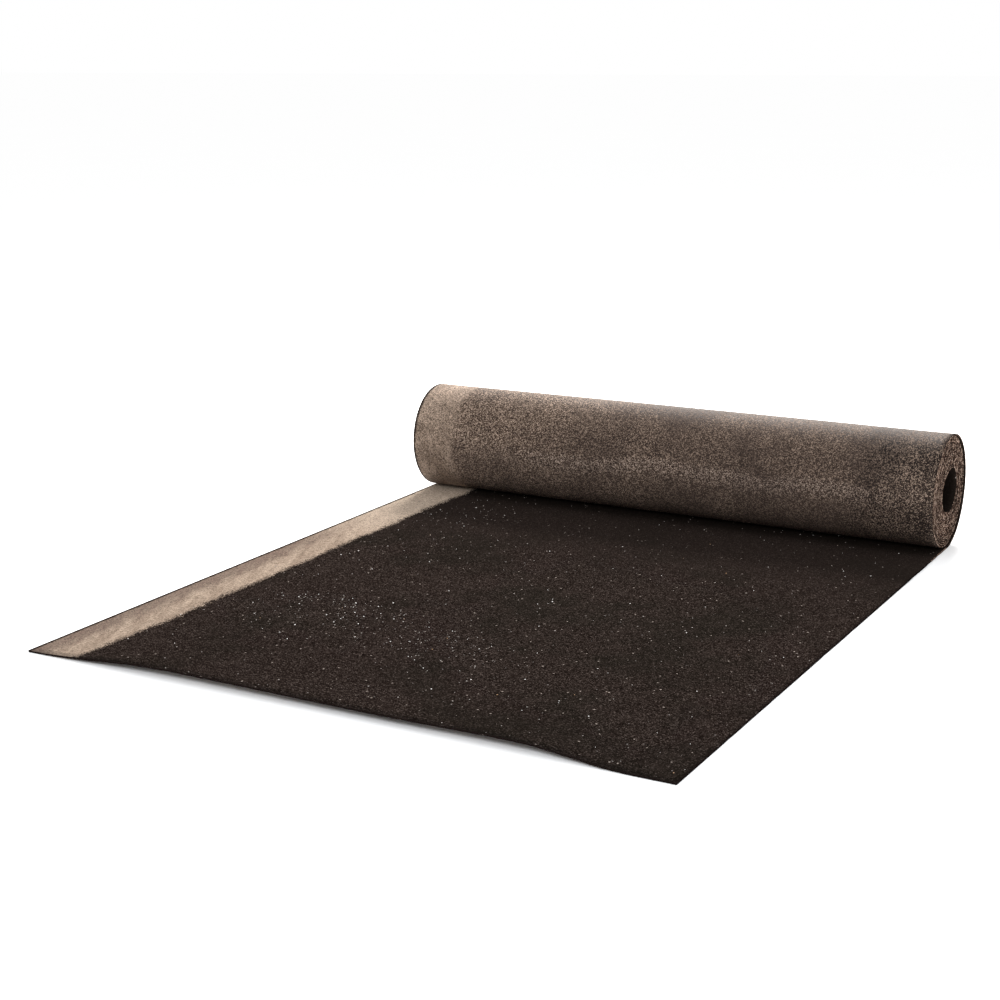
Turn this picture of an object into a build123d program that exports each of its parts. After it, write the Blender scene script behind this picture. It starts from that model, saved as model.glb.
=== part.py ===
from build123d import *
import math
import os

# Partly unrolled roll of mineral-surfaced roofing felt, in millimetres.
# It is one sheet: its free end lies on the floor towards -Y and the rest is wound into a
# coil whose bore runs along X. The coil rests on the sheet where the outer turn leaves it.

# Sheet
SHEET_WIDTH = 1000.0
SHEET_THICKNESS = 2.6
FREE_LENGTH = 1137.0

# Coil, slacker at its front than at its rear, so its bore sits towards the rear
BORE_RADIUS = 38.0
BORE_SHIFT = 7.0
TURNS = 20
PITCH = 3.05

# Line along which every turn climbs over the sheet's inner end, as angles from the rear
INNER_END_ANGLE = 56.0
OUTER_STEP_ANGLE = 97.0

# Line where the coil sinks into the sheet that it lies on
BEDDING_GAP = 0.8

# Turns that show on both ends as one spiral V groove
GROOVE_WIDTH = 0.6
GROOVE_DEPTH = 2.5

# Free end, which keeps a shallow rise between its two corners
LIFT_HEIGHT = 13.0
LIFT_REACH = 420.0
LIFT_STEPS = 3
LEFT_RISE = 260.0
DIP_DEPTH = 2.0
DIP_X = 90.0
RIGHT_RISE = 185.0
RIGHT_TOE = 45.0

COIL_RADIUS = BORE_RADIUS + TURNS * PITCH
HALF_WIDTH = SHEET_WIDTH / 2

# The origin is the middle of the bounding box's underside, so the coil lies behind it.
AXIS_Y = (FREE_LENGTH - COIL_RADIUS) / 2


def turn_centre(turn):
    """Centre of the circle outside a turn, counted inwards from the outermost one."""
    return Vector(BORE_SHIFT * turn / TURNS, COIL_RADIUS)


def turn_radius(turn):
    """Radius of the circle outside a turn, which is the bore's own for the last count."""
    return COIL_RADIUS - turn * PITCH


def step_angle(turn):
    """Angle at which the sheet leaves a turn's circle and steps in to the next one."""
    share = turn / (TURNS - 1)
    return OUTER_STEP_ANGLE + share * (INNER_END_ANGLE - OUTER_STEP_ANGLE)


def landing_angle(turn):
    """Angle at which the step from a turn's circle meets the next circle as its tangent."""
    ratio = turn_radius(turn + 1) / turn_radius(turn)
    return step_angle(turn) + math.degrees(math.acos(ratio))


def turn_point(turn, degrees):
    """A point on a turn's circle."""
    angle = math.radians(degrees)
    return turn_centre(turn) + turn_radius(turn) * Vector(math.cos(angle), math.sin(angle))


def turn_arc(turn, start, end):
    """Part of a turn's circle between two angles."""
    return CenterArc(turn_centre(turn), turn_radius(turn), start, end - start).edge()


def step_line(turn):
    """The straight step from a turn's circle in to the next circle."""
    start = turn_point(turn, step_angle(turn))
    return Line(start, turn_point(turn + 1, landing_angle(turn))).edge()


def bedding_end():
    """Angle short of the coil's lowest point at which its front meets the sheet under it."""
    rise = COIL_RADIUS - SHEET_THICKNESS - BEDDING_GAP
    return 270 - math.degrees(math.acos(rise / turn_radius(1)))


def coil_section():
    """Section of the coil and of the flat sheet in front of it, up to where that rises."""
    crease = turn_point(1, bedding_end())
    flat_end = LIFT_REACH - FREE_LENGTH
    flat_run = Polyline(
        crease,
        (crease.X, SHEET_THICKNESS),
        (flat_end, SHEET_THICKNESS),
        (flat_end, 0),
        (0, 0),
    )
    rear = turn_arc(0, -90, step_angle(0))
    front = turn_arc(1, landing_angle(0), bedding_end())
    return make_face([rear, step_line(0), front] + list(flat_run.edges()))


def bore_section():
    """The bore, with the wedge that stays open where the sheet climbs over its inner end."""
    last = TURNS - 1
    inner_end = Line(
        turn_point(TURNS, INNER_END_ANGLE),
        turn_point(last, INNER_END_ANGLE),
    )
    wall = turn_arc(TURNS, landing_angle(last), 360 + INNER_END_ANGLE)
    return make_face([inner_end.edge(), step_line(last), wall])


def groove_profile(turn, degrees, side):
    """V across the line between two turns, upright in the end face and running on outside it."""
    point = turn_point(turn, degrees)
    angle = math.radians(degrees)
    along = Vector(0, -math.sin(angle), math.cos(angle))
    place = Plane(origin=(side * HALF_WIDTH, point.X, point.Y), x_dir=(side, 0, 0), z_dir=along)
    flank = (GROOVE_DEPTH, GROOVE_WIDTH)
    root = (-GROOVE_DEPTH, 0)
    other_flank = (GROOVE_DEPTH, -GROOVE_WIDTH)
    return place * Polygon(flank, root, other_flank, align=None)


def groove_arc(turn, start, end, side):
    """Groove that follows a turn's circle between two angles."""
    centre = turn_centre(turn)
    axis = Axis((0, centre.X, centre.Y), (1, 0, 0))
    return revolve(groove_profile(turn, start, side), axis=axis, revolution_arc=end - start)


def groove_step(turn, side):
    """Groove that follows the step from a turn's circle in to the next circle."""
    landing = groove_profile(turn + 1, landing_angle(turn), side)
    return extrude(landing, amount=-step_line(turn).length)


def spiral_groove(side):
    """The line between the turns, from the crease in to the sheet's inner end."""
    pieces = [groove_arc(1, bedding_end(), 360 + step_angle(1), side)]
    for turn in range(2, TURNS):
        pieces.append(groove_step(turn - 1, side))
        pieces.append(groove_arc(turn, landing_angle(turn - 1), 360 + step_angle(turn), side))
    return pieces


def wound_sheet():
    """The coil and the flat sheet in front of it, with the turns cut into both ends."""
    section = Plane.YZ * (coil_section() - bore_section())
    body = extrude(section, amount=HALF_WIDTH, both=True)
    return body - spiral_groove(1) - spiral_groove(-1)


def smooth_step(start, end):
    """A level start that swings over to a level end, halfway between the two points."""
    middle = (start[0] + end[0]) / 2
    return Bezier(start, (middle, start[1]), (middle, end[1]), end).edge()


def across_line(share, height):
    """Line across the sheet where it has risen by a share of the full lift."""
    top = height + LIFT_HEIGHT * share
    dip = top - DIP_DEPTH * share
    left_shoulder = (LEFT_RISE - HALF_WIDTH, top)
    right_shoulder = (HALF_WIDTH - RIGHT_TOE - RIGHT_RISE, top)
    toe = (HALF_WIDTH - RIGHT_TOE, height)
    return [
        smooth_step((-HALF_WIDTH, height), left_shoulder),
        smooth_step(left_shoulder, (DIP_X, dip)),
        smooth_step((DIP_X, dip), right_shoulder),
        smooth_step(right_shoulder, toe),
        Line(toe, (HALF_WIDTH, height)).edge(),
    ]


def lifted_section(share, y):
    """Section across the sheet in its free end."""
    lower = across_line(share, 0.0)
    upper = across_line(share, SHEET_THICKNESS)
    left_edge = Line(lower[0] @ 0, upper[0] @ 0).edge()
    right_edge = Line(lower[-1] @ 1, upper[-1] @ 1).edge()
    face = make_face(lower + upper + [left_edge, right_edge])
    return Plane(origin=(0, y, 0), x_dir=(1, 0, 0), z_dir=(0, -1, 0)) * face


def free_end():
    """The last stretch of the sheet, which rises ever faster towards its cut end."""
    sections = []
    for step in range(LIFT_STEPS + 1):
        share = step / LIFT_STEPS
        y = LIFT_REACH * (1 - share) - FREE_LENGTH
        sections.append(lifted_section(share ** 2, y))
    return loft(sections)


roofing_felt = Pos(0, AXIS_Y, 0) * (wound_sheet() + free_end())

os.makedirs("parts", exist_ok=True)
export_step(roofing_felt, "parts/roofing_felt.step")
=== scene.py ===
import math

import bpy
from mathutils import Matrix, Vector


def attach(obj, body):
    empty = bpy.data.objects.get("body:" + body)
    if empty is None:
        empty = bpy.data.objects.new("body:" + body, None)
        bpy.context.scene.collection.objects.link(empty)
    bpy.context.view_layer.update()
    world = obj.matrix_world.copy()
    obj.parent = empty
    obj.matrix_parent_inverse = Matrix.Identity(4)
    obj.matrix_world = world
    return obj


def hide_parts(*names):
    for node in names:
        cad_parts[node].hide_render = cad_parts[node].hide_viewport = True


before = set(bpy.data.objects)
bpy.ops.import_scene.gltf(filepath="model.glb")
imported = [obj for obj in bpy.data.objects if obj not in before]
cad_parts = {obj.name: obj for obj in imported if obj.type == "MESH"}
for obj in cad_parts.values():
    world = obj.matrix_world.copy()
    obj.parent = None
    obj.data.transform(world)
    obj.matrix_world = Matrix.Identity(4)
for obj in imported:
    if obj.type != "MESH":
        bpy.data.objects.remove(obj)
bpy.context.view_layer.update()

bl_info = {
    "name": "Roofing felt roll",
    "version": (1, 0, 0),
    "blender": (4, 5, 0),
    "location": "3D View > Sidebar > Felt",
    "description": "Winds one sheet of mineral-surfaced roofing felt and dresses it with grains",
    "category": "Object",
}

BODY = "root"
NODE = "roofing_felt"

# Same sizes as the solid, in metres
SHEET_WIDTH = 1.000
SHEET_THICKNESS = 0.0026
FREE_LENGTH = 1.137
BORE_RADIUS = 0.038
BORE_SHIFT = 0.007
TURNS = 20
PITCH = 0.00305
COIL_RADIUS = BORE_RADIUS + TURNS * PITCH
AXIS_Y = (FREE_LENGTH - COIL_RADIUS) / 2
COIL_FRONT_Y = AXIS_Y - COIL_RADIUS
LIFT_HEIGHT = 0.013
LIFT_REACH = 0.420
LEFT_SHOULDER = -0.240
DIP_DEPTH = 0.002
DIP_X = 0.090
RIGHT_SHOULDER = 0.270
RIGHT_TOE = 0.455

# Seam where each turn climbs over the sheet's inner end, as angles from the rear
INNER_SEAM = math.radians(56.0)
OUTER_SEAM = math.radians(97.0)
SEAM_LEAN = OUTER_SEAM - INNER_SEAM
# Width of the painted shade along the seam
SEAM_SHADE_WIDTH = 0.0048

# Coil's ends: how far inside the outermost turn the others end, and their notch at the seam
TURN_INSET = 0.0032
SEAM_NOTCH = 0.0012
SEAM_NOTCH_ANGLE = 0.055

# Waves of the turns' edges in and out: rate round the coil, start, added start on the right
# and share of the whole
EDGE_WAVES = ((0.31, 0.0, 2.0, 0.5), (0.83, 1.3, 0.0, 0.3), (2.37, 0.4, 0.0, 0.2))

# Bore: pointed where the seam meets it, and a little oval and wide
BORE_POINT = 0.0022
BORE_POINT_ANGLE = 1.06
BORE_POINT_SPREAD = 0.20
BORE_OVAL = 0.0027
BORE_OVAL_ANGLE = 0.31
BORE_EXTRA = 0.0005

# Opening of the outer turns low down in front, which grows and then fades with each turn
OPENING = 0.0011
OPENING_START = 0.95
OPENING_FADE = 0.00022
OPENING_ANGLE = -2.10
OPENING_SPREAD = 0.45

# Free end: its ragged right edge, and its swell, which is the top of a broad noise
RAG_DEPTH = 0.004
RAG_LENGTHS = 40.0
SWELL_SCALE = 2.6
SWELL_START = 0.45
SWELL_HEIGHT = 6.0

# How fast all that is done to an edge fades out towards the sheet's middle
EDGE_FADE = 6.0

# Light laying strip along the left edge, whose boundary strays and is blurred by grains
STRIP_EDGE = -0.413
STRIP_WANDER = 0.030
STRIP_TEETH = 0.018
STRIP_SCATTER = 0.014

# Grains of each surface as cells across a metre, fine and coarse, and their relief in metres
FACE_GRAIN = 780.0
FACE_COARSE = 560.0
FACE_RELIEF = 0.0006
SAND_GRAIN = 860.0
SAND_COARSE = 540.0
SAND_RELIEF = 0.0003
EDGE_GRAIN = 820.0
EDGE_COARSE = 310.0
EDGE_RELIEF = 0.0008

# Rows of the sheet's mesh, each of which is one line across the sheet
FREE_ROWS = 64
ROWS_PER_TURN = 96
COLUMNS = 22
EDGE_CROWDING = 1.7

# Places of the sanded back and the cut edge in the sheet's list of materials
SANDED_INDEX = 1
CUT_EDGE_INDEX = 2

# Attribute that runs from zero on the sanded back to one on the slate face
THROUGH = "through_sheet"

# Streak of loose slate across the free end, which slants forwards to the right of its bend
STREAK_Y = -0.225
STREAK_BEND_X = -0.19
STREAK_SLANT = 0.40
STREAK_WIDTH = 0.020
STREAK_CROWD = 13.0

# Loose grains: smallest and largest radius, and height as a share of that
SLATE_RADII = (0.0004, 0.0014)
SLATE_FLATNESS = 0.8
SAND_RADII = (0.0003, 0.0008)
SAND_FLATNESS = 0.6
SAND_SEED_STEP = 20

FLOOR_Z = -0.0004

# View fitted to the object's corners and outlines in the photo
CAMERA_AZIMUTH = 29.121
CAMERA_ELEVATION = 14.286
CAMERA_ROLL = -0.363
CAMERA_PLACE = (1.2676, -2.9309 + AXIS_Y, 0.8363)
CAMERA_LENS = 64.87
SENSOR_WIDTH = 36.0


class Flow:
    """A socket's value on its way through a node tree, with arithmetic."""

    def __init__(self, graph, socket):
        self.graph = graph
        self.socket = socket

    def __add__(self, other):
        return self.graph.math("ADD", self, other)

    def __radd__(self, other):
        return self.graph.math("ADD", other, self)

    def __sub__(self, other):
        return self.graph.math("SUBTRACT", self, other)

    def __rsub__(self, other):
        return self.graph.math("SUBTRACT", other, self)

    def __mul__(self, other):
        return self.graph.math("MULTIPLY", self, other)

    def __rmul__(self, other):
        return self.graph.math("MULTIPLY", other, self)

    def __truediv__(self, other):
        return self.graph.math("DIVIDE", self, other)

    def __rtruediv__(self, other):
        return self.graph.math("DIVIDE", other, self)

    def __pow__(self, other):
        return self.graph.math("POWER", self, other)

    def __neg__(self):
        return self.graph.math("MULTIPLY", self, -1.0)


class Graph:
    """Adds nodes to one tree, for shaders and for geometry alike."""

    def __init__(self, tree):
        self.tree = tree

    def feed(self, socket, value):
        """Links a value to a socket, or sets it there."""
        if isinstance(value, Flow):
            self.tree.links.new(value.socket, socket)
        elif hasattr(value, "is_output"):
            self.tree.links.new(value, socket)
        else:
            socket.default_value = value

    def add(self, kind, settings=None, inputs=None, stops=None):
        """A node of this type with its settings, its ramp's stops and its sockets' values."""
        node = self.tree.nodes.new(kind)
        for name, value in (settings or {}).items():
            setattr(node, name, value)
        if stops:
            ramp = node.color_ramp
            while len(ramp.elements) < len(stops):
                ramp.elements.new(1.0)
            for element, (place, colour) in zip(ramp.elements, stops):
                element.position = place
                element.color = (*colour, 1.0)
        for key, value in (inputs or {}).items():
            self.feed(node.inputs[key], value)
        return node

    def out(self, node, key=0):
        """The flow of one of a node's outputs."""
        return Flow(self, node.outputs[key])

    def math(self, operation, first, second=0.0):
        inputs = {0: first, 1: second}
        return self.out(self.add("ShaderNodeMath", {"operation": operation}, inputs))

    def sin(self, value):
        return self.math("SINE", value)

    def cos(self, value):
        return self.math("COSINE", value)

    def least(self, first, second):
        return self.math("MINIMUM", first, second)

    def most(self, first, second):
        return self.math("MAXIMUM", first, second)

    def above(self, value, limit):
        return self.math("GREATER_THAN", value, limit)

    def size_of(self, value):
        return self.math("ABSOLUTE", value)

    def ease(self, value, start, end, low=0.0, high=1.0, curve="SMOOTHERSTEP"):
        """Value brought from start..end to low..high along a soft curve, level outside it."""
        inputs = {"Value": value, "From Min": start, "From Max": end, "To Min": low, "To Max": high}
        return self.out(self.add("ShaderNodeMapRange", {"interpolation_type": curve}, inputs))

    def half_turns(self, angle):
        """An angle brought to within half a turn of zero."""
        inputs = {0: angle, 1: math.pi, 2: -math.pi}
        return self.out(self.add("ShaderNodeMath", {"operation": "WRAP"}, inputs))

    def bell(self, value, centre, spread):
        """One at the centre, falling off to each side."""
        away = (value - centre) / spread
        return self.math("EXPONENT", -(away * away))

    def vector(self, x, y, z):
        return self.out(self.add("ShaderNodeCombineXYZ", None, {0: x, 1: y, 2: z}))

    def grey(self, value):
        """The same value for red, green and blue."""
        return self.vector(value, value, value)

    def parts(self, vector):
        """The vector's X, Y and Z."""
        node = self.add("ShaderNodeSeparateXYZ", None, {0: vector})
        return [self.out(node, key) for key in range(3)]

    def measure(self, operation, first, second=None):
        """The one number that a vector operation gives."""
        inputs = {0: first} if second is None else {0: first, 1: second}
        node = self.add("ShaderNodeVectorMath", {"operation": operation}, inputs)
        return self.out(node, "Value")

    def random(self, low, high, seed):
        """A random number between two limits for each point."""
        inputs = {2: low, 3: high, "Seed": seed}
        node = self.add("FunctionNodeRandomValue", {"data_type": "FLOAT"}, inputs)
        return self.out(node, 1)

    def noise(self, place, scale, detail=2.0, roughness=0.5):
        inputs = {"Vector": place, "Scale": scale, "Detail": detail, "Roughness": roughness}
        return self.out(self.add("ShaderNodeTexNoise", None, inputs))

    def cells(self, place, scale, output="Color"):
        """Random cells, one for each grain. Color is one random value for each cell."""
        node = self.add("ShaderNodeTexVoronoi", None, {"Vector": place, "Scale": scale})
        return self.out(node, output)

    def blend(self, share, first, second, mode="MIX"):
        """Colour mixed from one to another by a share."""
        settings = {"data_type": "RGBA", "blend_type": mode}
        node = self.add("ShaderNodeMix", settings)
        for key, value in ((0, share), (6, first), (7, second)):
            if isinstance(value, tuple) and len(value) == 3:
                value = (*value, 1.0)
            self.feed(node.inputs[key], value)
        return self.out(node, 2)

    def ramp(self, value, stops, curve="LINEAR"):
        """Colour picked along a ramp by a value."""
        node = self.add("ShaderNodeValToRGB", None, {0: value}, stops)
        node.color_ramp.interpolation = curve
        return self.out(node)


def new_material(name):
    """An empty shader tree with its output, and the graph that fills it."""
    material = bpy.data.materials.new(name)
    material.use_nodes = True
    material.node_tree.nodes.clear()
    graph = Graph(material.node_tree)
    coordinates = graph.add("ShaderNodeTexCoord")
    return material, graph, graph.out(coordinates, "Object")


def finish_material(graph, colour, roughness, height, relief, gloss):
    """Surface with its colour and roughness, and a bump that is so many metres deep."""
    relief_inputs = {"Strength": 1.0, "Distance": relief, "Height": height}
    bump = graph.add("ShaderNodeBump", None, relief_inputs)
    inputs = {
        "Base Color": colour,
        "Roughness": roughness,
        "Normal": graph.out(bump),
        "Specular IOR Level": gloss,
    }
    surface = graph.add("ShaderNodeBsdfPrincipled", None, inputs)
    output = graph.add("ShaderNodeOutputMaterial")
    graph.feed(output.inputs["Surface"], graph.out(surface))


def grain_draw(graph, place, scale):
    """One random number for each grain of a layer of grains."""
    return graph.out(graph.add("ShaderNodeSeparateColor", None, {0: graph.cells(place, scale)}))


def laying_strip(graph, place, draw):
    """One on the light laying strip along the sheet's left edge, with a grainy boundary."""
    x, y, z = graph.parts(place)
    wander = graph.noise(place, 9.0, 4.0, 0.65) - 0.5
    teeth = graph.noise(graph.vector(x + y * 0.5, y, z), 85.0, 3.0, 0.7) - 0.5
    edge = x + wander * STRIP_WANDER + teeth * STRIP_TEETH + (draw - 0.5) * STRIP_SCATTER
    return graph.ease(edge, STRIP_EDGE - 0.001, STRIP_EDGE + 0.001, 1.0, 0.0)


def stained_edge(graph, place):
    """One where bitumen has bled out along the sheet's left edge, and less along its right."""
    x = graph.parts(place)[0]
    bleed = (graph.noise(place, 90.0, 4.0, 0.7) - 0.5) * 0.009
    left = graph.ease(bleed - x, 0.4925, 0.4960)
    right = graph.ease(bleed + x, 0.4960, 0.5010, 0.0, 0.7)
    return graph.most(left, right)


def on_coil(graph, y):
    """One in the coil and zero in the free end."""
    return graph.ease(y, COIL_FRONT_Y - 0.02, COIL_FRONT_Y + 0.02)


def strip_colour(graph, place, draw, colours):
    """Film of the laying strip: warm beside the slate, stained at its outer front corner, and
    painted paler towards the coil against its shade.
    """
    x, y, z = graph.parts(place)
    slant = graph.vector(x * 3.0 + y * 1.2, y * 0.8, z)
    mottle = graph.noise(slant, 16.0, 5.0, 0.72)
    warm = graph.ramp(mottle, [(0.32, colours["strip_shade"]), (0.62, colours["strip"])])
    cool = graph.ramp(mottle, [(0.34, colours["strip_stain"]), (0.58, colours["strip_outer"])])
    outer = graph.ease(x + (mottle - 0.5) * 0.05, -0.482, -0.440, 1.0, 0.0)
    outer = outer * graph.ease(y, -0.10, 0.30, 1.0, 0.35)
    film = graph.blend(outer, warm, cool)
    # Painted light: the film paler towards the coil, against the coil's shade
    film = graph.blend(graph.ease(y, 0.0, 0.4, 0.0, 0.75), film, colours["strip_far"])
    fine = graph.ease(draw, 0.0, 1.0, 0.60, 1.34, "LINEAR")
    film = graph.blend(1.0, film, graph.grey(fine), "MULTIPLY")
    return graph.blend(graph.above(draw, 0.965) * 0.7, film, colours["bare_bitumen"])


def mineral_material(colours):
    """Upper face: near-black slate grains in bitumen with a few bright ones."""
    material, graph, place = new_material("mineral_face")
    y = graph.parts(place)[1]
    draw = grain_draw(graph, place, FACE_GRAIN)
    coarse = grain_draw(graph, place, FACE_COARSE)
    tone = graph.ramp(
        draw * 0.64 + coarse * 0.36,
        [
            (0.10, colours["slate_dark"]),
            (0.50, colours["slate"]),
            (0.74, colours["slate_light"]),
            (0.95, colours["slate_grey"]),
        ],
    )
    broad = graph.noise(place, 4.5, 4.0, 0.6)
    patch = graph.noise(place, 27.0, 3.0, 0.6)
    tone = graph.blend(graph.ease(broad, 0.42, 0.66, 0.0, 0.45), tone, colours["slate_moss"])
    tone = graph.blend(graph.ease(patch, 0.50, 0.70, 0.0, 0.20), tone, colours["slate_light"])
    # Painted light: the slate face paler towards the coil, against the coil's shade
    dust_and_painted_light = graph.ease(y, 0.05, COIL_FRONT_Y, 0.0, 0.45)
    tone = graph.blend(dust_and_painted_light, tone, colours["slate_light"])
    # Painted shade: darker in the coil, where the bore shows the face
    inside = graph.ease(y, COIL_FRONT_Y, AXIS_Y - BORE_RADIUS, 0.0, 0.60)
    tone = graph.blend(inside, tone, colours["slate_shade"])
    rare = graph.above(grain_draw(graph, place, 500.0), 0.9985) * 0.6
    tone = graph.blend(rare, tone, colours["slate_speck"])
    strip = laying_strip(graph, place, draw)
    colour = graph.blend(strip, tone, strip_colour(graph, place, coarse, colours))
    colour = graph.blend(stained_edge(graph, place) * 0.85, colour, colours["bare_bitumen"])
    bumps = graph.cells(place, FACE_GRAIN, "Distance")
    height = (1.0 - bumps * 1.2) * (1.0 - strip * 0.6) + patch * 0.4
    roughness = graph.ease(draw, 0.0, 1.0, 0.74, 0.95)
    finish_material(graph, colour, roughness, height, FACE_RELIEF, gloss=0.0)
    return material


def band_colour(graph, place, grains, colours):
    """Paler sand on the underside of the laying strip, with painted light: paler at the top and
    darker towards the floor.
    """
    z = graph.parts(place)[2]
    # Painted light: the band paler at the top of the coil and darker towards the floor
    mottle = graph.noise(place, 30.0, 4.0, 0.6) + graph.ease(z, 0.10, 0.18, -0.18, 0.10)
    base = graph.ramp(mottle, [(0.26, colours["band_shade"]), (0.66, colours["band"])])
    fine = graph.ease(grains, 0.15, 0.85, 0.25, 1.75, "LINEAR")
    return graph.blend(1.0, base, graph.grey(fine), "MULTIPLY")


def shade_sand(graph, place, tone, colours):
    """Sand darkened in clouds and to the right, with painted shade low down on the left, a painted
    sheen across the front at mid-height and painted shade just above that sheen.
    """
    x, _, z = graph.parts(place)
    broad = graph.noise(place, 6.0, 4.0, 0.6)

    # Painted sheen: a paler, cooler band under a wandering line at mid-height, and painted shade
    # just above it
    line = z + (broad - 0.5) * 0.05
    veiled = graph.ease(x, -0.34, -0.20) * graph.ease(x, 0.36, 0.43, 1.0, 0.3)
    above = graph.ease(line, 0.112, 0.126) * graph.ease(line, 0.175, 0.145) * veiled
    painted_sheen_share = graph.ease(line, 0.122, 0.108) * graph.ease(line, 0.075, 0.105) * veiled

    leftward = graph.ease(x, -0.32, -0.20, 1.0, 0.2)
    shade = graph.ease(broad, 0.36, 0.66, 0.0, 0.30) + graph.ease(x, -0.35, 0.08, 0.0, 0.48)
    # Painted shade: darker low down, most on the left
    shade = shade + graph.ease(z, 0.14, 0.07, 0.0, 0.42) * leftward
    # Painted sheen: less shade in the band at mid-height
    shade = graph.least(shade, 0.72) - painted_sheen_share * 0.26
    tone = graph.blend(shade, tone, colours["sand_shade"])
    # Painted shade above the sheen band, and the sheen's cooler tint
    tone = graph.blend(above * 0.9, tone, colours["under_veil"], "MULTIPLY")
    tone = graph.blend(painted_sheen_share, tone, colours["veil"], "MULTIPLY")
    # Painted shade towards the floor, most on the left
    painted_floor_shade = graph.ease(z, 0.035, 0.0, 0.0, 0.4) * leftward
    return graph.blend(painted_floor_shade, tone, colours["sand_dark"])


def bare_patch(graph, place, grains):
    """One between the grains of the patch at the coil's right where the sand is thin, thinned at
    mid-height as painted sheen and along the top as painted light, and less near the floor.
    """
    x, _, z = graph.parts(place)
    wander = (graph.noise(place, 16.0, 4.0, 0.65) - 0.5) * 0.16
    # Painted sheen: less bare bitumen at mid-height
    bare = graph.ease(x + wander, 0.325, 0.41) * (1.0 - graph.bell(z, 0.115, 0.025) * 0.35)
    # Painted light: less bare bitumen along the top; also less near the floor
    bare = bare * graph.ease(z, 0.196, 0.180, 0.35, 1.0) * graph.ease(z, 0.0, 0.05, 0.3, 1.0)
    rim = graph.ease(x, 0.44, 0.48, 0.0, 0.13) + graph.ease(z, 0.10, 0.075, 0.0, 0.05)
    return bare * graph.ease(grains + wander * 0.3 - rim, 0.66, 0.52, 0.0, 1.0)


def sanded_material(colours):
    """Underside, which is the coil's outside: sand in salt-and-pepper browns."""
    material, graph, place = new_material("sanded_back")
    draw = grain_draw(graph, place, SAND_GRAIN)
    coarse = grain_draw(graph, place, SAND_COARSE)
    clump = graph.noise(place, 150.0, 2.0, 0.6)
    grains = draw * 0.72 + coarse * 0.28
    tone = graph.ramp(
        grains,
        [
            (0.22, colours["sand_dark"]),
            (0.40, colours["sand_brown"]),
            (0.60, colours["sand"]),
            (0.82, colours["sand_light"]),
        ],
    )
    tone = graph.blend(graph.ease(clump, 0.54, 0.72, 0.0, 0.12), tone, colours["sand_dark"])
    tone = shade_sand(graph, place, tone, colours)
    bare = bare_patch(graph, place, grains)
    tone = graph.blend(bare * 0.90, tone, colours["bare_bitumen"])
    strip = laying_strip(graph, place, draw)
    colour = graph.blend(strip * 0.82, tone, band_colour(graph, place, grains, colours))
    colour = graph.blend(stained_edge(graph, place) * 0.9, colour, colours["bare_bitumen"])
    bumps = graph.cells(place, SAND_GRAIN, "Distance")
    height = 1.0 - bumps * 1.3 + clump * 0.5
    roughness = graph.ease(draw, 0.0, 1.0, 0.62, 0.86)
    finish_material(graph, colour, roughness, height, SAND_RELIEF, gloss=0.05)
    return material


def seam_painted_shade(graph, y, z):
    """One along the seam where each turn climbs over the sheet's inner end: painted shade in its
    crease.
    """
    back = y - AXIS_Y
    up = z - COIL_RADIUS
    reach = (back * back + up * up) ** 0.5
    angle = graph.math("ARCTAN2", up, back)
    depth = (COIL_RADIUS - reach) / (COIL_RADIUS - BORE_RADIUS)
    lap = graph.half_turns(angle - OUTER_SEAM + depth * SEAM_LEAN)
    return graph.bell(lap * reach, 0.0, SEAM_SHADE_WIDTH) * graph.ease(depth, 0.02, 0.14)


def edge_material(colours):
    """Cut edges: bare bitumen on the free end, dusted with sand on the coil's ends."""
    material, graph, place = new_material("cut_edge")
    _, y, z = graph.parts(place)
    fibre = graph.noise(place, 900.0, 3.0, 0.7)
    draw = grain_draw(graph, place, EDGE_GRAIN)
    coarse = grain_draw(graph, place, EDGE_COARSE)
    dust_and_painted_light = graph.ramp(
        draw * 0.35 + coarse * 0.65,
        [
            (0.28, colours["edge_dark"]),
            (0.48, colours["edge"]),
            (0.67, colours["edge_light"]),
            (0.86, colours["edge_pale"]),
        ],
    )
    blotch = graph.noise(place, 45.0, 3.0, 0.6)
    dust_and_painted_light = graph.blend(graph.ease(blotch, 0.45, 0.7, 0.0, 0.35), dust_and_painted_light, colours["edge_dark"])

    # Less dust towards the slate face, where the bitumen is bare
    through = graph.out(graph.add("ShaderNodeAttribute", {"attribute_name": THROUGH}), "Fac")
    through = through + (fibre - 0.5) * 0.25
    core = graph.ease(through, 0.36, 0.60) * 0.45 + graph.ease(through, 0.60, 0.78) * 0.50
    dust_and_painted_light = graph.blend(core, dust_and_painted_light, colours["bare_bitumen"])

    # Painted shade along the seam's crease on the coil's ends
    dust_and_painted_light = graph.blend(seam_painted_shade(graph, y, z), dust_and_painted_light, colours["bare_bitumen"])
    colour = graph.blend(on_coil(graph, y), colours["bare_bitumen"], dust_and_painted_light)
    finish_material(graph, colour, 0.85, fibre, EDGE_RELIEF, gloss=0.0)
    return material


def grain_material(name, stops, roughness):
    """Loose grains, each of about one colour."""
    material, graph, place = new_material(name)
    pick = grain_draw(graph, place, 260.0)
    chip = graph.noise(place, 1500.0, 2.0)
    colour = graph.ramp(pick, stops, "CONSTANT")
    colour = graph.blend(graph.ease(chip, 0.4, 0.7, 0.0, 0.4), colour, (0.05, 0.045, 0.04))
    finish_material(graph, colour, roughness, chip, relief=0.0002, gloss=0.4)
    return material


def floor_material(colour):
    """Pale matt floor with a trace of cloudiness."""
    material, graph, place = new_material("pale_floor")
    cloud = graph.noise(place, 1.5, 3.0)
    shade = graph.blend(graph.ease(cloud, 0.3, 0.7, 0.0, 0.02), colour, (0.9, 0.9, 0.9))
    finish_material(graph, shade, 0.9, cloud, relief=0.0001, gloss=0.0)
    return material


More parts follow.
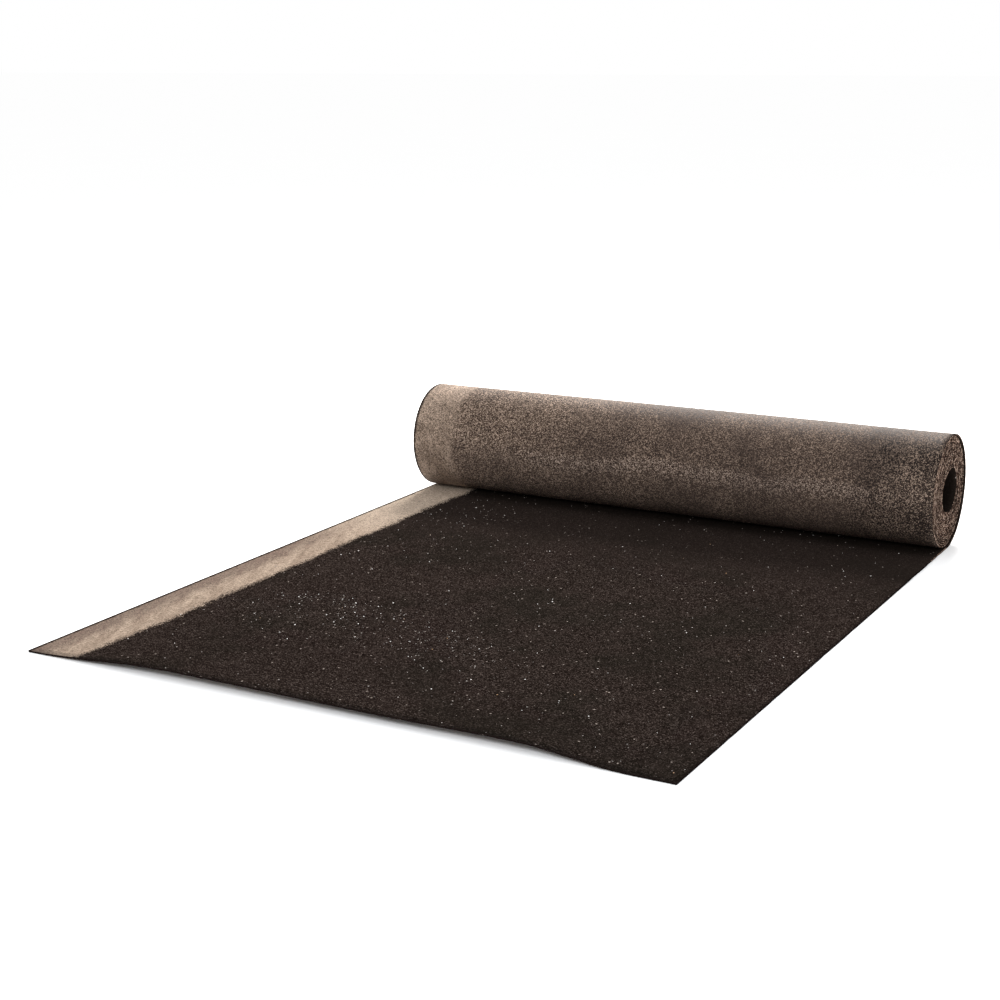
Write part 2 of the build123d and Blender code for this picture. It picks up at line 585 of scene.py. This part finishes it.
def node_tool(name, inputs):
    """A geometry node tree with named inputs, and the flows of those inputs."""
    tree = bpy.data.node_groups.new(name, "GeometryNodeTree")
    face = tree.interface
    face.new_socket("Geometry", in_out="INPUT", socket_type="NodeSocketGeometry")
    for label, kind in inputs:
        face.new_socket(label, in_out="INPUT", socket_type="NodeSocket" + kind)
    face.new_socket("Geometry", in_out="OUTPUT", socket_type="NodeSocketGeometry")
    graph = Graph(tree)
    entry = graph.add("NodeGroupInput")
    flows = {label: graph.out(entry, label) for label, kind in inputs}
    flows["Geometry"] = graph.out(entry, "Geometry")
    return graph, flows


def close_tool(graph, geometry, material):
    """Ends a tree with its instances made real and its material set."""
    real = graph.add("GeometryNodeRealizeInstances", None, {"Geometry": geometry})
    painted = graph.add(
        "GeometryNodeSetMaterial", None, {"Geometry": graph.out(real), "Material": material}
    )
    leave = graph.add("NodeGroupOutput")
    graph.feed(leave.inputs[0], graph.out(painted))


def free_run(graph, x, share, values):
    """Height of the underside in the free end, which rises ever faster towards its cut edge."""
    left = graph.ease(x, -SHEET_WIDTH / 2, LEFT_SHOULDER)
    right = graph.ease(x, RIGHT_SHOULDER, RIGHT_TOE, 1.0, 0.0)
    into_dip = graph.ease(x, LEFT_SHOULDER, DIP_X)
    out_of_dip = graph.ease(x, DIP_X, RIGHT_SHOULDER, 1.0, 0.0)
    rise = values["Lift height"] * left * right - DIP_DEPTH * into_dip * out_of_dip
    reach = values["Lift reach"] / values["Free length"]
    near = graph.most(1.0 - share / reach, 0.0)
    return rise * near * near


def winding_tool():
    """The sheet as one grid: its free end laid out flat and the rest wound into the coil."""
    inputs = [
        ("Sheet width", "Float"),
        ("Free length", "Float"),
        ("Coil radius", "Float"),
        ("Pitch", "Float"),
        ("Turns", "Int"),
        ("Bore shift", "Float"),
        ("Lift height", "Float"),
        ("Lift reach", "Float"),
        ("Edge wander", "Float"),
        ("Unevenness", "Float"),
        ("Material", "Material"),
    ]
    graph, values = node_tool("wind_sheet", inputs)
    rows = values["Turns"] * ROWS_PER_TURN + FREE_ROWS
    grid = graph.add(
        "GeometryNodeMeshGrid",
        None,
        {"Size X": 1.0, "Size Y": 1.0, "Vertices X": COLUMNS, "Vertices Y": rows + 1.0},
    )
    across, along = graph.parts(graph.out(graph.add("GeometryNodeInputPosition")))[:2]
    row = (along + 0.5) * rows
    winding = graph.above(row, FREE_ROWS - 0.5)
    share = graph.least(row / FREE_ROWS, 1.0)
    angle = graph.most(row - FREE_ROWS, 0.0) * (math.tau / ROWS_PER_TURN)
    turn = angle / math.tau
    depth = turn / values["Turns"]
    around = angle - math.pi / 2
    cosine = graph.cos(around)
    sine = graph.sin(around)

    # Columns crowd towards both edges of the sheet
    side = graph.math("SIGN", across)
    inward = (1.0 - graph.size_of(across) * 2.0) ** EDGE_CROWDING
    half = values["Sheet width"] / 2.0
    x = side * half * (1.0 - inward)

    # Edges of the turns: all but the outermost lie further in, and they wander in and out
    right_side = graph.above(across, 0.0)
    settle = graph.ease(turn, 0.45, 1.1)
    inset = settle * TURN_INSET
    wobble = 0.0
    for rate, start, right_start, part in EDGE_WAVES:
        wave = graph.sin(angle * rate + start + right_side * right_start)
        wobble = wobble + wave * part
    inset = inset - wobble * values["Edge wander"] * graph.ease(turn, 0.1, 0.9)
    lap = graph.half_turns(around - OUTER_SEAM + depth * SEAM_LEAN)
    notch = graph.bell(lap, 0.0, SEAM_NOTCH_ANGLE) * graph.ease(depth, 0.12, 0.3)
    inset = inset + notch * SEAM_NOTCH
    by_edge = graph.most(1.0 - inward * EDGE_FADE, 0.0)
    x = x - side * inset * by_edge

    # Ragged right edge of the free end
    along_edge = graph.vector(share * RAG_LENGTHS, 0.0, 0.0)
    rag = (graph.noise(along_edge, 3.0, 4.0, 0.7) - 0.5) * RAG_DEPTH
    rag = rag * right_side * by_edge * (1.0 - winding)
    x = x + graph.least(rag, 0.0)

    # Free end, with its swell kept off its two sides and the coil
    flat_y = AXIS_Y - values["Free length"] * (1.0 - share)
    flat_z = free_run(graph, x, share, values)
    swell = graph.most(graph.noise(graph.vector(x, flat_y, 0.0), SWELL_SCALE) - SWELL_START, 0.0)
    inner = graph.ease(share, 0.93, 0.80) * (1.0 - graph.ease(graph.size_of(x), 0.40, 0.495))
    flat_z = flat_z + swell * values["Unevenness"] * inner * SWELL_HEIGHT

    # Coil: a spiral whose centre moves rearwards, pinched to a point at the bore
    radius = values["Coil radius"] - values["Pitch"] * turn
    slack = depth * depth
    point = graph.bell(graph.half_turns(around - BORE_POINT_ANGLE), 0.0, BORE_POINT_SPREAD)
    oval = graph.cos((around - BORE_OVAL_ANGLE) * 2.0)
    radius = radius + slack * (BORE_POINT * point + BORE_OVAL * oval + BORE_EXTRA)

    # The outer turns stand a little open at the front, low down
    opening = graph.most(turn - OPENING_START, 0.0) * OPENING
    opening = graph.least(opening, (values["Turns"] - turn) * OPENING_FADE)
    low_front = graph.bell(graph.half_turns(around - OPENING_ANGLE), 0.0, OPENING_SPREAD)
    radius = radius - opening * low_front

    # Slow unevenness, the same in every turn, which dies out where the coil meets the floor
    ring = graph.vector(x * 1.7, cosine * 0.6, sine * 0.6)
    uneven = (graph.noise(ring, 1.8, 2.0) - 0.5) * (1.0 + sine) * values["Unevenness"]
    radius = radius + uneven

    coil_y = AXIS_Y + values["Bore shift"] * depth + radius * cosine
    coil_z = values["Coil radius"] + radius * sine
    y = flat_y + winding * (coil_y - flat_y)
    z = flat_z + winding * (coil_z - flat_z)
    placed = graph.add(
        "GeometryNodeSetPosition",
        None,
        {"Geometry": graph.out(grid, "Mesh"), "Position": graph.vector(x, y, z)},
    )
    smooth = graph.add("GeometryNodeSetShadeSmooth", None, {0: graph.out(placed)})
    close_tool(graph, graph.out(smooth), values["Material"])
    return graph.tree


def set_inputs(modifier, values):
    """Sets a tree's inputs by their sockets' identifiers."""
    for item in modifier.node_group.interface.items_tree:
        if item.item_type == "SOCKET" and item.in_out == "INPUT" and item.name in values:
            modifier[item.identifier] = values[item.name]


def plain_mesh(holder, name):
    """The evaluated result of an object's modifiers as a new plain object, holder removed."""
    bpy.context.view_layer.update()
    graph = bpy.context.evaluated_depsgraph_get()
    mesh = bpy.data.meshes.new_from_object(holder.evaluated_get(graph), depsgraph=graph)
    base = holder.data
    bpy.data.objects.remove(holder)
    bpy.data.meshes.remove(base)
    mesh.name = name
    piece = bpy.data.objects.new(name, mesh)
    bpy.context.scene.collection.objects.link(piece)
    if not mesh.polygons:
        raise RuntimeError(f"{name} has no faces")
    return piece


def slate_share(graph, place, lie):
    """Where loose slate lies on the free end: thin all over, and thick in a slanting streak."""
    x, y, z = graph.parts(place)
    upward = graph.above(graph.parts(lie)[2], 0.9)
    on_free_end = graph.above(AXIS_Y - 0.012, y) * graph.above(0.03, z) * upward
    off_strip = graph.ease(x, STRIP_EDGE - 0.01, STRIP_EDGE + 0.01, 0.12, 1.0)
    streak = y - STREAK_Y + graph.most(x - STREAK_BEND_X, 0.0) * STREAK_SLANT
    band = graph.bell(streak, 0.0, STREAK_WIDTH) + graph.bell(streak, -0.075, 0.030) * 0.35
    band = band * graph.ease(x, -0.38, -0.28) * graph.ease(x, 0.04, 0.18, 1.0, 0.0)
    by_coil = graph.bell(x, -0.33, 0.07) * graph.bell(y, 0.34, 0.10)
    crowd = graph.noise(place, 5.0, 3.0)
    amount = graph.ease(crowd, 0.4, 0.75, 0.3, 1.3) + band * STREAK_CROWD + by_coil * 3.0
    return on_free_end * off_strip * amount


def sand_share(graph, place, lie):
    """Where coarse sand sticks: on the outside of the coil's outermost turn."""
    _, y, z = graph.parts(place)
    back = graph.vector(0.0, y - AXIS_Y, z - COIL_RADIUS)
    outermost = graph.above(graph.measure("LENGTH", back), COIL_RADIUS - 0.0027)
    outward = graph.above(graph.measure("DOT_PRODUCT", back, lie), 0.05)
    return outermost * outward * graph.above(z, 0.012)


def slate_shape(graph):
    """A rounded grain of slate."""
    inputs = {"Radius": 1.0, "Subdivisions": 1}
    return graph.out(graph.add("GeometryNodeMeshIcoSphere", None, inputs), "Mesh")


def sand_shape(graph):
    """A sharp grain of sand."""
    inputs = {"Segments": 4, "Rings": 2, "Radius": 1.0}
    return graph.out(graph.add("GeometryNodeMeshUVSphere", None, inputs), "Mesh")


def scatter_tool(name, share_of, shape_of):
    """Grains of one shape strewn over the faces of a sheet by their share."""
    inputs = [
        ("Density", "Float"),
        ("Smallest grain", "Float"),
        ("Largest grain", "Float"),
        ("Flatness", "Float"),
        ("Seed", "Int"),
        ("Material", "Material"),
    ]
    graph, values = node_tool(name, inputs)
    seed = values["Seed"]
    place = graph.out(graph.add("GeometryNodeInputPosition"))
    lie = graph.out(graph.add("GeometryNodeInputNormal"))
    off_edges = graph.above(SHEET_WIDTH / 2 - 0.004, graph.size_of(graph.parts(place)[0]))
    density = values["Density"] * share_of(graph, place, lie) * off_edges
    strewn = graph.add(
        "GeometryNodeDistributePointsOnFaces",
        {"distribute_method": "RANDOM"},
        {"Mesh": values["Geometry"], "Density": density, "Seed": seed},
    )
    spin = graph.random(0.0, math.tau, seed + 1.0)
    turned = graph.add(
        "FunctionNodeRotateRotation",
        {"rotation_space": "LOCAL"},
        {0: graph.out(strewn, "Rotation"), 1: graph.vector(0.0, 0.0, spin)},
    )
    length = graph.random(values["Smallest grain"], values["Largest grain"], seed + 2.0)
    width = length * graph.random(0.6, 1.0, seed + 3.0)
    grains = graph.add(
        "GeometryNodeInstanceOnPoints",
        None,
        {
            "Points": graph.out(strewn, "Points"),
            "Instance": shape_of(graph),
            "Rotation": graph.out(turned),
            "Scale": graph.vector(length, width, length * values["Flatness"]),
        },
    )
    close_tool(graph, graph.out(grains), values["Material"])
    return graph.tree


def grain_values(density, radii, flatness, seed, material):
    """Inputs of one kind of grain."""
    return {
        "Density": density,
        "Smallest grain": radii[0],
        "Largest grain": radii[1],
        "Flatness": flatness,
        "Seed": seed,
        "Material": material,
    }


def strew(sheet, name, tool, values):
    """One piece of loose grains on a copy of the sheet's faces."""
    holder = bpy.data.objects.new(name + "_holder", sheet.data.copy())
    bpy.context.scene.collection.objects.link(holder)
    modifier = holder.modifiers.new("strew", "NODES")
    modifier.node_group = tool
    set_inputs(modifier, values)
    grains = plain_mesh(holder, name)
    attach(grains, BODY)


def mark_layers(sheet, back_count):
    """Marks each point as on the sanded back or the slate face, and makes cut edges crisp."""
    mesh = sheet.data
    marks = mesh.attributes.new(THROUGH, "FLOAT", "POINT")
    values = [0.0] * back_count + [1.0] * (len(mesh.vertices) - back_count)
    marks.data.foreach_set("value", values)
    for face in mesh.polygons:
        face.use_smooth = face.material_index != CUT_EDGE_INDEX


def colour_property(name, description, default):
    return bpy.props.FloatVectorProperty(
        name=name, description=description, default=default, subtype="COLOR", size=3, min=0, max=1
    )


def length_property(name, description, default):
    return bpy.props.FloatProperty(
        name=name, description=description, default=default, unit="LENGTH", precision=4
    )


class FeltSizes(bpy.types.PropertyGroup):
    """Sizes of the wound sheet."""

    thickness: length_property("Thickness", "Thickness of the sheet", SHEET_THICKNESS)
    edge_wander: length_property(
        "Edge wander", "How far the turns stand in and out on the coil's ends", 0.0009
    )
    unevenness: length_property("Unevenness", "Waves in the coil and in the free end", 0.0012)
    lift: length_property("Lift", "Rise of the free end's cut edge", LIFT_HEIGHT)


class FeltColours(bpy.types.PropertyGroup):
    """Colours of the sheet's two faces and its edges."""

    slate_dark: colour_property("Slate, dark", "Darkest slate grains", (0.003, 0.0019, 0.0016))
    slate: colour_property("Slate", "Most slate grains", (0.0090, 0.0061, 0.0049))
    # Also the colour the slate face is painted lighter with towards the coil
    slate_light: colour_property("Slate, light", "Paler slate grains", (0.027, 0.0196, 0.0168))
    slate_grey: colour_property("Slate, grey", "Palest slate grains", (0.085, 0.067, 0.059))
    slate_moss: colour_property("Slate, greenish", "Greenish grains", (0.0072, 0.0066, 0.0049))
    # Painted shade in the coil's bore
    slate_shade: colour_property("Slate by the coil", "Face beside the coil", (0.005, 0.004, 0.003))
    slate_speck: colour_property("Bright grain", "Rare bright grains", (0.40, 0.34, 0.30))
    # Also the colour of the painted shade towards the floor
    sand_dark: colour_property("Sand, dark", "Dark sand grains", (0.006, 0.0035, 0.0025))
    sand_brown: colour_property("Sand, brown", "Brown sand grains", (0.040, 0.026, 0.0185))
    sand: colour_property("Sand", "Most sand grains", (0.104, 0.071, 0.052))
    sand_light: colour_property("Sand, light", "Pale sand grains", (0.52, 0.385, 0.295))
    # Darker sand for clouds and towards the right, and painted shade low down on the left
    sand_shade: colour_property("Sand, shaded", "Sand on thin spots", (0.036, 0.0250, 0.0210))
    # Painted sheen: the cooler tint of the paler band across the coil's front at mid-height
    veil: colour_property("Veil of dust", "Tint of the dust on the coil's front", (0.94, 0.96, 1.0))
    # Painted shade just above the sheen band
    under_veil: colour_property("Above the veil", "Tint of the sand above it", (0.80, 0.79, 0.79))
    # The pale band is painted paler at the top and darker towards the floor
    band: colour_property("Pale band", "Sand under the laying strip", (0.285, 0.215, 0.166))
    band_shade: colour_property("Pale band, darker", "Its darker spots", (0.115, 0.083, 0.062))
    strip: colour_property("Laying strip", "Film beside the slate", (0.262, 0.204, 0.158))
    strip_shade: colour_property("Laying strip, darker", "Its darker spots", (0.175, 0.130, 0.099))
    # Painted light: paler film towards the coil, against its shade
    strip_far: colour_property("Laying strip by the coil", "Cleanest film", (0.42, 0.340, 0.268))
    strip_outer: colour_property("Laying strip, outer", "Film by the edge", (0.142, 0.108, 0.086))
    strip_stain: colour_property("Laying strip, stained", "Stained film", (0.125, 0.088, 0.072))
    bare_bitumen: colour_property("Bare bitumen", "Bitumen with no grains", (0.009, 0.0062, 0.0055))
    edge_dark: colour_property("Edge, dark", "Dark part of the cut edge", (0.010, 0.0055, 0.004))
    edge: colour_property("Edge", "Dusty cut edge", (0.075, 0.048, 0.037))
    edge_light: colour_property("Edge, light", "Sand on the cut edge", (0.270, 0.175, 0.130))
    edge_pale: colour_property("Edge, palest", "Palest sand there", (0.60, 0.45, 0.36))


class FeltGrains(bpy.types.PropertyGroup):
    """Loose grains on the sheet."""

    slate_density: bpy.props.FloatProperty(
        name="Loose slate", description="Loose grains on each square metre", default=900.0
    )
    sand_density: bpy.props.FloatProperty(
        name="Coarse sand", description="Coarse grains on each square metre", default=14000.0
    )
    seed: bpy.props.IntProperty(name="Seed", description="Start of the random draw", default=11)


class FeltStage(bpy.types.PropertyGroup):
    """Size and colour of the floor."""

    floor_size: length_property("Floor", "Width of the square floor", 80.0)
    floor_colour: colour_property("Floor colour", "Colour of the floor", (0.99, 0.99, 0.99))


class WindFelt(bpy.types.Operator):
    """Wind the sheet into its coil with the free end laid out"""

    bl_idname = "felt.wind"
    bl_label = "Wind the felt"

    def execute(self, context):
        scene = context.scene
        sizes, colours = scene.felt_sizes, scene.felt_colours
        table = {key: tuple(getattr(colours, key)) for key in FeltColours.__annotations__}
        materials = [mineral_material(table), sanded_material(table), edge_material(table)]
        base = bpy.data.meshes.new("felt_base")
        holder = bpy.data.objects.new("felt_holder", base)
        scene.collection.objects.link(holder)
        winding = holder.modifiers.new("winding", "NODES")
        winding.node_group = winding_tool()
        values = {
            "Sheet width": SHEET_WIDTH,
            "Free length": FREE_LENGTH,
            "Coil radius": COIL_RADIUS,
            "Pitch": (COIL_RADIUS - BORE_RADIUS - sizes.thickness) / TURNS,
            "Turns": TURNS,
            "Bore shift": BORE_SHIFT,
            "Lift height": sizes.lift,
            "Lift reach": LIFT_REACH,
            "Edge wander": sizes.edge_wander,
            "Unevenness": sizes.unevenness,
            "Material": materials[0],
        }
        set_inputs(winding, values)
        wound = plain_mesh(holder, "wound_sheet")
        wound.data.materials.clear()
        for material in materials:
            wound.data.materials.append(material)
        shell = wound.modifiers.new("thickness", "SOLIDIFY")
        shell.thickness = sizes.thickness
        shell.offset = 1.0
        shell.use_even_offset = True
        shell.material_offset = SANDED_INDEX
        shell.material_offset_rim = CUT_EDGE_INDEX
        back_count = len(wound.data.vertices)
        sheet = plain_mesh(wound, "felt_sheet")
        mark_layers(sheet, back_count)
        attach(sheet, BODY)
        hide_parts(NODE)
        return {"FINISHED"}


class StrewGrains(bpy.types.Operator):
    """Strew loose slate on the free end and coarse sand on the coil"""

    bl_idname = "felt.strew"
    bl_label = "Strew the grains"

    def execute(self, context):
        grains = context.scene.felt_grains
        sheet = bpy.data.objects["felt_sheet"]
        slate = grain_material(
            "loose_slate",
            [
                (0.00, (0.14, 0.115, 0.105)),
                (0.58, (0.34, 0.30, 0.27)),
                (0.84, (0.96, 0.92, 0.88)),
                (0.97, (0.36, 0.20, 0.09)),
            ],
            0.7,
        )
        sand = grain_material(
            "coarse_sand",
            [
                (0.00, (0.012, 0.009, 0.008)),
                (0.45, (0.06, 0.044, 0.036)),
                (0.78, (0.19, 0.145, 0.118)),
                (0.95, (0.46, 0.38, 0.32)),
            ],
            0.6,
        )
        slate_values = grain_values(
            grains.slate_density, SLATE_RADII, SLATE_FLATNESS, grains.seed, slate
        )
        slate_tool = scatter_tool("slate_grains", slate_share, slate_shape)
        strew(sheet, "slate_grains", slate_tool, slate_values)
        sand_values = grain_values(
            grains.sand_density, SAND_RADII, SAND_FLATNESS, grains.seed + SAND_SEED_STEP, sand
        )
        sand_tool = scatter_tool("sand_grains", sand_share, sand_shape)
        strew(sheet, "sand_grains", sand_tool, sand_values)
        return {"FINISHED"}


class SetStage(bpy.types.Operator):
    """Lay the floor, hang the lights and aim the camera"""

    bl_idname = "felt.stage"
    bl_label = "Set the stage"

    def execute(self, context):
        stage = context.scene.felt_stage
        lay_floor(stage.floor_size, tuple(stage.floor_colour))
        hang_lights()
        aim_camera()
        return {"FINISHED"}


def lay_floor(size, colour):
    """A flat floor just under the felt."""
    half = size / 2
    mesh = bpy.data.meshes.new("floor")
    sides = ((-half, -half), (half, -half), (half, half), (-half, half))
    corners = [(x, y, FLOOR_Z) for x, y in sides]
    mesh.from_pydata(corners, [], [(0, 1, 2, 3)])
    mesh.materials.append(floor_material(colour))
    floor = bpy.data.objects.new("floor", mesh)
    bpy.context.scene.collection.objects.link(floor)


def add_light(name, place, target, size, power, tint):
    """A square soft light that faces a point."""
    data = bpy.data.lights.new(name, "AREA")
    data.shape = "SQUARE"
    data.size = size
    data.energy = power
    data.color = tint
    light = bpy.data.objects.new(name, data)
    light.location = place
    aim = Vector(target) - Vector(place)
    light.rotation_euler = aim.to_track_quat("-Z", "Y").to_euler()
    bpy.context.scene.collection.objects.link(light)


def hang_lights():
    """Soft light from behind and a weaker one from the front, in a white room."""
    add_light(
        "rear_light",
        place=(-0.8, 3.4, 2.1),
        target=(0.0, 0.4, 0.0),
        size=1.8,
        power=420.0,
        tint=(1.0, 0.975, 0.95),
    )
    add_light(
        "front_light",
        place=(0.9, -3.7, 2.5),
        target=(0.0, 0.5, 0.1),
        size=1.1,
        power=95.0,
        tint=(0.92, 0.96, 1.0),
    )
    world = bpy.data.worlds.new("white_room")
    world.use_nodes = True
    background = world.node_tree.nodes["Background"]
    background.inputs["Color"].default_value = (1.0, 1.0, 1.0, 1.0)
    background.inputs["Strength"].default_value = 1.0
    bpy.context.scene.world = world
    bpy.context.scene.view_settings.view_transform = "Standard"


def aim_camera():
    """The camera at the fitted view."""
    azimuth = math.radians(CAMERA_AZIMUTH)
    elevation = math.radians(CAMERA_ELEVATION)
    roll = math.radians(CAMERA_ROLL)
    back = Vector((
        math.sin(azimuth) * math.cos(elevation),
        -math.cos(azimuth) * math.cos(elevation),
        math.sin(elevation),
    ))
    level = (-back).cross(Vector((0, 0, 1))).normalized()
    upright = level.cross(-back)
    right = math.cos(roll) * level + math.sin(roll) * upright
    up = math.cos(roll) * upright - math.sin(roll) * level
    data = bpy.data.cameras.new("photo_view")
    data.lens = CAMERA_LENS
    data.sensor_width = SENSOR_WIDTH
    data.sensor_fit = "HORIZONTAL"
    camera = bpy.data.objects.new("photo_view", data)
    turned = Matrix((right, up, back)).transposed().to_4x4()
    camera.matrix_world = Matrix.Translation(CAMERA_PLACE) @ turned
    bpy.context.scene.collection.objects.link(camera)
    bpy.context.scene.camera = camera


class FeltPanel(bpy.types.Panel):
    """Sizes, colours and steps of the roofing felt roll"""

    bl_idname = "VIEW3D_PT_felt"
    bl_label = "Roofing felt roll"
    bl_space_type = "VIEW_3D"
    bl_region_type = "UI"
    bl_category = "Felt"

    def draw(self, context):
        scene = context.scene
        for key, kind in GROUPS.items():
            box = self.layout.box()
            for name in kind.__annotations__:
                box.prop(getattr(scene, key), name)
        for step in STEPS:
            self.layout.operator(step.bl_idname)


GROUPS = {
    "felt_sizes": FeltSizes,
    "felt_colours": FeltColours,
    "felt_grains": FeltGrains,
    "felt_stage": FeltStage,
}
STEPS = (WindFelt, StrewGrains, SetStage)
CLASSES = (*GROUPS.values(), *STEPS, FeltPanel)


def register():
    for item in CLASSES:
        bpy.utils.register_class(item)
    for name, group in GROUPS.items():
        setattr(bpy.types.Scene, name, bpy.props.PointerProperty(type=group))


def unregister():
    for name in GROUPS:
        delattr(bpy.types.Scene, name)
    for item in reversed(CLASSES):
        bpy.utils.unregister_class(item)


def main():
    register()
    bpy.ops.felt.wind()
    bpy.ops.felt.strew()
    bpy.ops.felt.stage()


if __name__ == "__main__":
    main()
